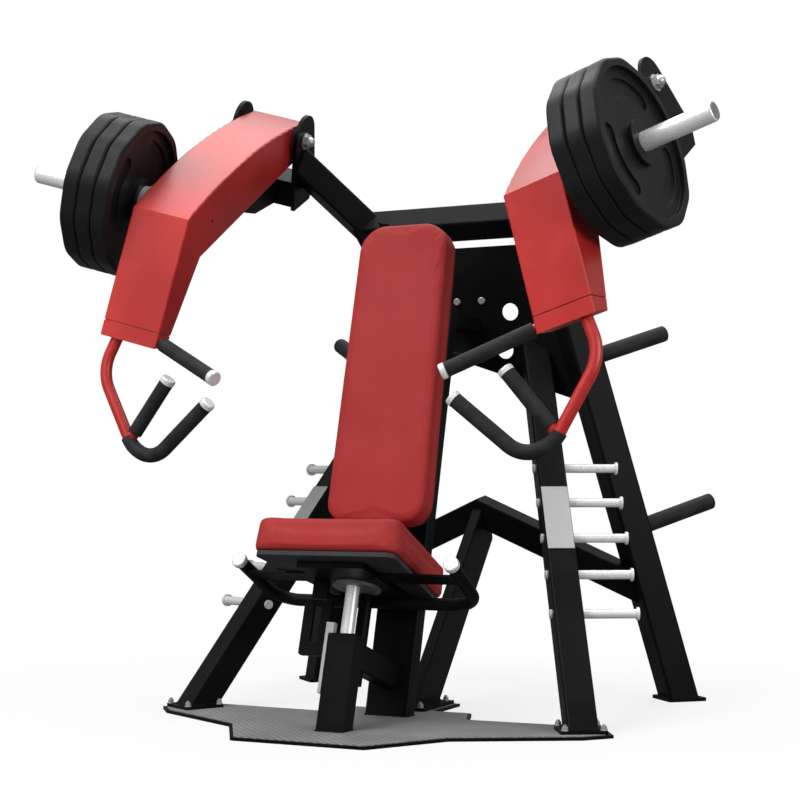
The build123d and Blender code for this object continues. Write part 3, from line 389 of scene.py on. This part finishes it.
BLACK = powder_coat("black_coat", (0.0042, 0.0043, 0.0046), (0.050, 0.050, 0.053), 0.40, 0.075)
RED = powder_coat("red_coat", (0.47, 0.018, 0.014), (0.60, 0.14, 0.11), 0.33, 0.60)
PAD = vinyl("red_vinyl", (0.365, 0.029, 0.028))
CHROME = chrome()
STEEL = steel("brushed_steel", (0.60, 0.61, 0.62), 0.30, 0.7)
BRIGHT = steel("bright_plate", (0.50, 0.50, 0.51), 0.36, 0.45)
FOAM = foam_rubber()
IRON = coated_iron()
TREAD = tread_rubber()
PLASTIC = moulded_plastic("board_plastic", (0.012, 0.0125, 0.013))
GREY_PLUG = moulded_plastic("plug_plastic", (0.20, 0.20, 0.205))
GALVANISED = steel("galvanised", (0.20, 0.20, 0.205), 0.42, 0.4)
# The seat board's black plastic painted lighter: painted light standing in for the light bounced up under
# the seat.
SEAT_BOARD_PAINTED_LIT = moulded_plastic("seat_board_plastic_painted_lit", (0.036, 0.036, 0.038))

SLOT_PAINT = {
    "frame_black": BLACK,
    "arm_red": RED,
    "pad_red": PAD,
    "chrome": CHROME,
    "steel": STEEL,
    "grip_rubber": FOAM,
    "cast_black": IRON,
    "mat_rubber": TREAD,
    "board_black": PLASTIC,
    "bush_plastic": PLASTIC,
}


# seat_board takes its black plastic painted lighter, as painted light from below.
NODE_PAINT = {"blank_plates": BRIGHT, "scale_strip": BRIGHT, "seat_flange": GALVANISED, "seat_board": SEAT_BOARD_PAINTED_LIT}


def paint_frame():
    """Every CAD node takes its own finish, or that of its material slot."""
    for part in frame["record"]["subparts"]:
        mesh = NODES[part["node"]].data
        mesh.materials.clear()
        mesh.materials.append(NODE_PAINT.get(part["node"], SLOT_PAINT[part["material_slot"]]))


# ---------------------------------------------------------------- pads

BACK_LEAN = math.radians(14.15)
SEAT_TILT = math.radians(19)
PAD_VOXEL = 5 * MM
PAD_GIVE = 3 * MM  # the furthest that pressure moves the cover
PAD_SHRINK = (2.5 * MM, 2.5 * MM, 1.5 * MM)  # room left on each side for the cover to swell
PAD_ROOM = 1.5 * MM  # how far past the plain pad the cushion may reach
PAD_PRESSURE = 4.0
PAD_FRAMES = 20
HELD_STRIP = 6 * MM  # height above the board over which the cover is held
OUTLINE_STEP = 4 * MM
SEAM_REACH = 26 * MM  # distance inside the outline over which a seam fades out
CROWN_DEPTH = 24 * MM  # depth below the face over which the crown fades out
CROWN_POWER = 2.6
EDGE_SEAM = (13 * MM, 1.8 * MM, 0.9 * MM)  # depth below the face, width and press of a seam
BACK_SEAMS = (EDGE_SEAM, (64 * MM, 1.8 * MM, 0.8 * MM))
SEAT_SEAMS = (EDGE_SEAM, (80 * MM, 1.8 * MM, 0.8 * MM))
BACK_CROWN = 2.5 * MM
SEAT_CROWN = 3 * MM


def new_piece(name, mesh, paint, body):
    piece = bpy.data.objects.new(name, mesh)
    bpy.context.scene.collection.objects.link(piece)
    mesh.materials.clear()
    mesh.materials.append(paint)
    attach(piece, body)
    return piece


def hull_outline(points, spacing):
    """Evenly spaced points round the convex outline of some 2-D points, anticlockwise."""
    points = sorted({(round(x, 5), round(y, 5)) for x, y in points})

    def half(run):
        chain = []
        for p in run:
            while len(chain) > 1:
                (ax, ay), (bx, by) = chain[-2:]
                if (bx - ax) * (p[1] - ay) - (by - ay) * (p[0] - ax) > 0:
                    break
                chain.pop()
            chain.append(p)
        return chain[:-1]

    ring = np.array(half(points) + half(points[::-1]))
    closed = np.vstack([ring, ring[:1]])
    steps = np.hypot(*np.diff(closed, axis=0).T)
    reach = np.concatenate([[0], np.cumsum(steps)])
    count = int(reach[-1] / spacing)
    where = np.linspace(0, reach[-1], count, endpoint=False)
    return np.stack([np.interp(where, reach, closed[:, k]) for k in (0, 1)], axis=1)


def outline_normals(ring):
    ahead = np.roll(ring, -1, axis=0) - np.roll(ring, 1, axis=0)
    ahead /= np.hypot(*ahead.T)[:, None]
    return np.stack([ahead[:, 1], -ahead[:, 0]], axis=1)


class Pad:
    """An upholstered pad, worked in its own frame: x across, y along, z out of its face."""

    def __init__(self, node, turn, body):
        self.node, self.body = node, body
        self.turn = turn
        self.back = turn.inverted()
        points = np.array([turn @ v.co for v in NODES[node].data.vertices])
        self.low, self.high = points.min(0), points.max(0)
        self.ring = hull_outline(points[:, :2], OUTLINE_STEP)

    def soft_mesh(self, voxel):
        """The CAD form, a little smaller, as an even mesh in the pad's own frame."""
        mesh = NODES[self.node].data.copy()
        mesh.transform(self.turn)
        form = bmesh.new()
        form.from_mesh(mesh)
        bmesh.ops.remove_doubles(form, verts=form.verts, dist=0.00002)
        form.to_mesh(mesh)
        form.free()
        middle = Vector((self.low + self.high) / 2)
        size = Vector(self.high - self.low)
        scale = Vector([(s - 2 * k) / s for s, k in zip(size, PAD_SHRINK)])
        for v in mesh.vertices:
            v.co = middle + Vector([(c - m) * k for c, m, k in zip(v.co, middle, scale)])
        piece = bpy.data.objects.new("soft_work", mesh)
        bpy.context.scene.collection.objects.link(piece)
        even = piece.modifiers.new("even", "REMESH")
        even.mode = "VOXEL"
        even.voxel_size = voxel
        self.apply(piece)
        return piece

    @staticmethod
    def apply(piece):
        """Replaces a piece's mesh by its evaluated one and drops its modifiers."""
        graph = bpy.context.evaluated_depsgraph_get()
        graph.update()
        made = bpy.data.meshes.new_from_object(piece.evaluated_get(graph), depsgraph=graph)
        old = piece.data
        piece.modifiers.clear()
        piece.data = made
        bpy.data.meshes.remove(old)

    def inflate(self, piece, cap):
        """Cloth under pressure, held on its flat back, with no point moving further than cap."""
        rest = np.array([v.co for v in piece.data.vertices])
        floor = rest[:, 2].min()
        held = piece.vertex_groups.new(name="held")
        for i, z in enumerate(rest[:, 2]):
            if z < floor + HELD_STRIP:
                held.add([i], 1.0, "REPLACE")
        cloth = piece.modifiers.new("cloth", "CLOTH")
        cloth.settings.quality = 6
        cloth.settings.mass = 0.4
        cloth.settings.tension_stiffness = 25
        cloth.settings.compression_stiffness = 25
        cloth.settings.shear_stiffness = 12
        cloth.settings.bending_stiffness = 2.0
        cloth.settings.use_pressure = True
        cloth.settings.uniform_pressure_force = PAD_PRESSURE
        cloth.settings.vertex_group_mass = "held"
        cloth.settings.effector_weights.gravity = 0
        cloth.point_cache.frame_start = 1
        cloth.point_cache.frame_end = PAD_FRAMES
        scene = bpy.context.scene
        for step in range(1, PAD_FRAMES + 1):
            scene.frame_set(step)
        self.apply(piece)
        scene.frame_set(1)
        moved = np.array([v.co for v in piece.data.vertices]) - rest
        far = np.linalg.norm(moved, axis=1)
        keep = np.minimum(1.0, cap / np.maximum(far, 1e-9))
        final = rest + moved * keep[:, None]
        piece.data.vertices.foreach_set("co", final.astype(np.float32).ravel())
        piece.data.update()

    def inside(self, points):
        """Distance of points inside the outline, in the plane of the pad."""
        ring, out = self.ring, outline_normals(self.ring)
        gaps = np.full(len(points), 1e9)
        for start in range(0, len(points), 4000):
            part = points[start : start + 4000, None, :2] - ring[None]
            away = -(part * out[None]).sum(2)
            near = (part**2).sum(2).argmin(1)
            gaps[start : start + 4000] = away[np.arange(len(near)), near]
        return gaps

    def shape_seams(self, piece, bands, crown):
        """Presses sewn seams into the side band and crowns the face."""
        mesh = piece.data
        points = np.array([v.co for v in mesh.vertices])
        normals = np.array([v.normal for v in mesh.vertices])
        gap = self.inside(points)
        top = self.high[2]
        side = np.clip(1 - gap / SEAM_REACH, 0, 1)
        for depth, width, press in bands:
            near = np.exp(-(((top - points[:, 2]) - depth) ** 2) / width**2)
            points -= normals * (near * side * press)[:, None]
        half = (self.high - self.low)[:2] / 2
        middle = (self.high + self.low)[:2] / 2
        across = (points[:, :2] - middle) / half
        dome = np.prod(1 - np.clip(np.abs(across), 0, 1) ** CROWN_POWER, axis=1)
        front = np.clip(1 - (top - points[:, 2]) / CROWN_DEPTH, 0, 1)
        points[:, 2] += crown * dome * front
        mesh.vertices.foreach_set("co", points.astype(np.float32).ravel())
        mesh.update()

    def keep_in(self, piece, room):
        """Holds the finished pad within its CAD box, apart from room on each side."""
        points = np.array([v.co for v in piece.data.vertices])
        points = np.clip(points, self.low - room, self.high + room)
        points[:, 2] = np.maximum(points[:, 2], self.low[2])
        piece.data.vertices.foreach_set("co", points.astype(np.float32).ravel())
        piece.data.update()

    def subdivide(self, piece):
        fine = piece.modifiers.new("fine", "SUBSURF")
        fine.levels = fine.render_levels = 1
        self.apply(piece)

    def finish(self, piece, name):
        for polygon in piece.data.polygons:
            polygon.use_smooth = True
        piece.data.transform(self.back)
        piece.data.materials.clear()
        piece.data.materials.append(PAD)
        piece.name = name
        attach(piece, self.body)
        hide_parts(self.node)
        return piece

    def make(self, name, voxel, cap, bands, crown):
        piece = self.soft_mesh(voxel)
        self.inflate(piece, cap)
        self.subdivide(piece)
        self.shape_seams(piece, bands, crown)
        self.keep_in(piece, PAD_ROOM)
        return self.finish(piece, name)


def tilt_about_x(angle):
    return Matrix.Rotation(angle, 4, "X")


def make_pads():
    """Makes both cushions, each turned so that its face is up while it is worked."""
    back = Pad("back_pad", tilt_about_x(math.radians(-90) + BACK_LEAN), "frame")
    back.make("back_cushion", PAD_VOXEL, PAD_GIVE, BACK_SEAMS, BACK_CROWN)
    seat = Pad("seat_pad", tilt_about_x(SEAT_TILT), "seat")
    seat.make("seat_cushion", PAD_VOXEL, PAD_GIVE, SEAT_SEAMS, SEAT_CROWN)


# ---------------------------------------------------------------- welds and small fittings

BEAD_RADIUS = 3.0 * MM
BEAD_PITCH = 3.4 * MM
BEAD_STEP = 1.1 * MM
BEAD_SIDES = 8
BEAD_RISE = 0.8 * MM  # of the bead's middle above the foot
WELDED_FEET = (
    "front_leg_left",
    "front_leg_right",
    "rear_leg_left",
    "rear_leg_right",
    "centre_leg",
    "column",
    "seat_post",
)


def turned(count):
    """Angles evenly round a circle."""
    return [2 * math.pi * k / count for k in range(count)]


def smooth_mesh(name, form):
    """Closes a bmesh into a smooth-shaded mesh with its normals outward."""
    bmesh.ops.recalc_face_normals(form, faces=form.faces)
    mesh = bpy.data.meshes.new(name)
    form.to_mesh(mesh)
    form.free()
    for polygon in mesh.polygons:
        polygon.use_smooth = True
    return mesh


def bead_mesh(name, path):
    """Weld bead round a closed line: a round section that swells with each laid ripple."""
    count, sides = len(path), BEAD_SIDES
    form = bmesh.new()
    rings = []
    for i, point in enumerate(path):
        ahead = (path[(i + 1) % count] - path[i - 1]).normalized()
        out = ahead.cross(Vector((0, 0, 1))).normalized()
        up = out.cross(ahead)
        swell = abs(math.sin(math.pi * i * BEAD_STEP / BEAD_PITCH))
        wander = noise.noise(point * 60.0) * 0.35 * MM
        radius = BEAD_RADIUS * (0.80 + 0.20 * swell) + wander
        spokes = [out * math.cos(a) + up * math.sin(a) for a in turned(sides)]
        rings.append([form.verts.new(point + spoke * radius) for spoke in spokes])
    for near, far in zip(rings, rings[1:] + rings[:1]):
        for k in range(sides):
            form.faces.new((near[k], near[(k + 1) % sides], far[(k + 1) % sides], far[k]))
    return smooth_mesh(name, form)


def weld_feet():
    """A bead round the foot of each upright, where it meets its plate."""
    for node in WELDED_FEET:
        points = [v.co for v in NODES[node].data.vertices]
        low = min(p.z for p in points)
        sole = [(p.x, p.y) for p in points if p.z < low + 0.4 * MM]
        ring = hull_outline(sole, BEAD_STEP)
        path = [Vector((x, y, low + BEAD_RISE)) for x, y in ring]
        name = node + "_weld"
        new_piece(name, bead_mesh(name, path), BLACK, "frame")


def lathe_mesh(name, place, axis, profile, sides=48):
    """Cap turned on an axis: profile is (radius, height) steps from its open foot to its centre."""
    turn = axis.to_track_quat("Z", "Y").to_matrix()
    form = bmesh.new()
    rings = []
    for radius, height in profile:
        angles = turned(sides) if radius else (0,)
        steps = [Vector((radius * math.cos(a), radius * math.sin(a), height)) for a in angles]
        rings.append([form.verts.new(place + turn @ step) for step in steps])
    for near, far in zip(rings, rings[1:]):
        for k in range(sides):
            after = k + 1
            first = [near[k % len(near)], near[after % len(near)]]
            last = [far[after % len(far)], far[k % len(far)]]
            form.faces.new(list(dict.fromkeys(first + last)))
    return smooth_mesh(name, form)


END_FACE_SLACK = 0.5 * MM
HORN_PLUG = (  # share of the end face's radius, and height above it
    (0.98, 0.0),
    (0.96, 1.2 * MM),
    (0.84, 1.8 * MM),
    (0.74, 1.2 * MM),
    (0.66, 0.4 * MM),
    (0.30, 0.2 * MM),
    (0, 0.2 * MM),
)


def end_plugs():
    """Dished plastic plug in the outer end of each plate horn, turned on the horn's own axis."""
    for side in ("left", "right"):
        points = np.array([v.co for v in NODES["plate_horn_" + side].data.vertices])
        middle = points.mean(0)
        axis = Vector(np.linalg.svd(points - middle, full_matrices=False)[2][0])
        outward = 1 if side == "right" else -1
        axis = axis * (outward if axis.x > 0 else -outward)
        along = (points - middle) @ np.array(axis)
        tip = [Vector(p) for p in points[along > along.max() - END_FACE_SLACK]]
        end = sum(tip, Vector()) / len(tip)
        reach = max((p - end).length for p in tip)
        profile = [(reach * share, height) for share, height in HORN_PLUG]
        name = "horn_plug_" + side
        plug = lathe_mesh(name, end, axis, profile)
        new_piece(name, plug, GREY_PLUG, side + "_arm")


ARM_HOLE = Vector((0.4745, -0.0890, 1.3679))  # on the inner face of the right arm
ARM_ACROSS = Vector((0.947659, -0.170118, 0.270188))  # outward along the right pivot


def arm_hole_shades():
    """Small black dome in the hole in the inner face of each arm: painted shade, its black standing in for
    the dark inside the hole.
    """
    profile = [(4.5 * MM, 0.0), (4.5 * MM, 0.7 * MM), (3.6 * MM, 1.4 * MM), (0, 1.6 * MM)]
    for side, flip in (("right", 1), ("left", -1)):
        place = Vector((ARM_HOLE.x * flip, ARM_HOLE.y, ARM_HOLE.z))
        inward = Vector((-ARM_ACROSS.x * flip, -ARM_ACROSS.y, -ARM_ACROSS.z))
        name = "arm_hole_shade_" + side
        plug = lathe_mesh(name, place, inward, profile)
        # Black plastic here is painted shade for the dark inside the hole.
        new_piece(name, plug, PLASTIC, side + "_arm")


# ---------------------------------------------------------------- build

make_camera()
make_world()
make_lights()
make_floor()
paint_frame()
make_pads()
weld_feet()
end_plugs()
arm_hole_shades()

bpy.context.scene.view_settings.view_transform = "Standard"
